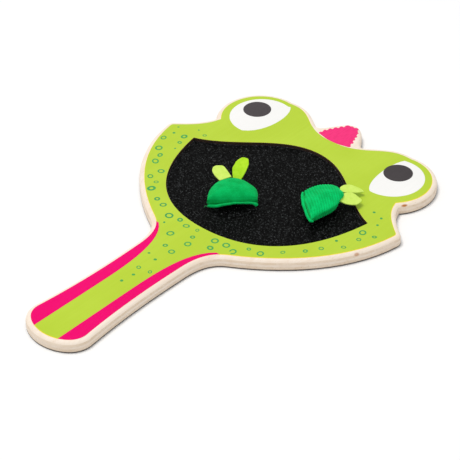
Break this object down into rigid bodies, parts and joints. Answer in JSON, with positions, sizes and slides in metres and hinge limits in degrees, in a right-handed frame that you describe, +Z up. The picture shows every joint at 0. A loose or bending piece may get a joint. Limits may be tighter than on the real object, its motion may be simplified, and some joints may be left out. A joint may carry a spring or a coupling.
{
  "type": "catch ball game",
  "caption": "Hand-held catching paddle in the shape of a frog's head, with small knit bean bags that stick to the hook fabric in its mouth.",
  "frame": {"origin": "on the underside of the board, under the middle of the paddle's length and width", "axes": "+Y from the handle to the top of the head, +X to the right as seen from the front, +Z up out of the printed face"},
  "size_m": [0.1908, 0.2844, 0.0235],
  "materials": {
    "wood": "pale plywood, sanded and clear lacquered",
    "green_print": "satin lime green print",
    "pink_print": "satin pink print",
    "white_print": "satin white print",
    "charcoal_print": "satin charcoal print",
    "adhesive": "dry glue film",
    "hook_fabric": "black hook fabric",
    "knit": "green rib knit",
    "filling": "loose stuffing",
    "felt": "lime felt"
  },
  "bodies": {
    "paddle": {"back_veneer": "wood", "cross_ply_back": "wood", "core_ply": "wood", "cross_ply_front": "wood", "front_veneer": "wood", "green_print": "green_print", "crest_print": "pink_print", "eye_white_left": "white_print", "eye_white_right": "white_print", "pupil_left": "charcoal_print", "pupil_right": "charcoal_print", "handle_stripe_left": "pink_print", "handle_stripe_right": "pink_print", "patch_adhesive": "adhesive", "hook_patch": "hook_fabric"},
    "bag_left": {"bag_left_top_panel": "knit", "bag_left_base_panel": "knit", "bag_left_filling": "filling", "bag_left_hem": "knit"},
    "bag_right": {"bag_right_top_panel": "knit", "bag_right_base_panel": "knit", "bag_right_filling": "filling", "bag_right_hem": "knit"},
    "bag_left_leaf_left_body": {"bag_left_leaf_left": "felt"},
    "bag_left_leaf_right_body": {"bag_left_leaf_right": "felt"},
    "bag_right_leaf_left_body": {"bag_right_leaf_left": "felt"},
    "bag_right_leaf_right_body": {"bag_right_leaf_right": "felt"}
  },
  "joints": [
    {"name": "bag_left_lift", "type": "slide", "parent": "paddle", "child": "bag_left", "axis": [0, 0, 1], "range_m": [0, 0.12]},
    {"name": "bag_right_lift", "type": "slide", "parent": "paddle", "child": "bag_right", "axis": [0, 0, 1], "range_m": [0, 0.12]},
    {"name": "bag_left_leaf_left_bend", "type": "hinge", "parent": "bag_left", "child": "bag_left_leaf_left_body", "pos_m": [-0.01824, 0.03345, 0.01273], "axis": [0.3007, 0.9537, 0], "range_deg": [-20, 60], "stiffness_Nm_per_rad": 0.0002},
    {"name": "bag_left_leaf_right_bend", "type": "hinge", "parent": "bag_left", "child": "bag_left_leaf_right_body", "pos_m": [-0.01197, 0.03891, 0.01273], "axis": [0.9367, 0.3502, 0], "range_deg": [-55, 30], "stiffness_Nm_per_rad": 0.0002},
    {"name": "bag_right_leaf_left_bend", "type": "hinge", "parent": "bag_right", "child": "bag_right_leaf_left_body", "pos_m": [0.04239, 0.07297, 0.01268], "axis": [0.7193, -0.6947, 0], "range_deg": [-4, 50], "stiffness_Nm_per_rad": 0.0002},
    {"name": "bag_right_leaf_right_bend", "type": "hinge", "parent": "bag_right", "child": "bag_right_leaf_right_body", "pos_m": [0.04961, 0.06643, 0.01268], "axis": [0.7314, -0.682, 0], "range_deg": [-4, 50], "stiffness_Nm_per_rad": 0.0002}
  ]
}
